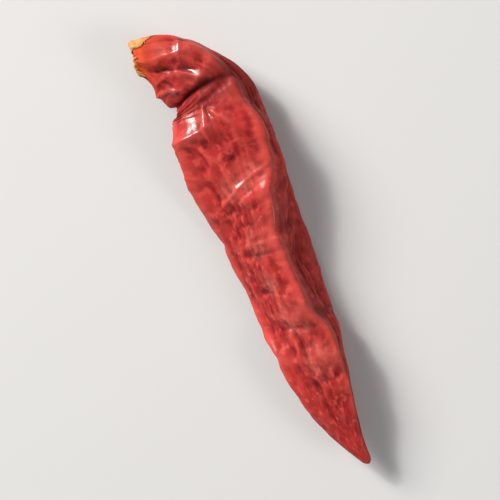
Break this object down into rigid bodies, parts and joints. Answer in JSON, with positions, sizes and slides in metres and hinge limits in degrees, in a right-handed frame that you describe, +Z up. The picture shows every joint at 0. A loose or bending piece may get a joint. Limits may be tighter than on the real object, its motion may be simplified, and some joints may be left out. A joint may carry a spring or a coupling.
{
  "type": "dried chilli pepper",
  "caption": "Long dried red chilli pod with a wrinkled, collapsed skin, a hooked stem end and a torn straw-coloured calyx remnant, lying on its side.",
  "frame": {"origin": "middle of the bounding box in plan, on the plane that the pod lies on", "axes": "+X runs from the torn stem end to the tip along the pod's longest extent, +Y is the outer side of the bend, +Z is up"},
  "size_m": [0.08, 0.0188, 0.0105],
  "materials": {
    "dried_skin": "gloss",
    "dry_calyx": "matte"
  },
  "bodies": {
    "root": {"pod": "dried_skin", "calyx_remnant": "dry_calyx"}
  },
  "joints": []
}
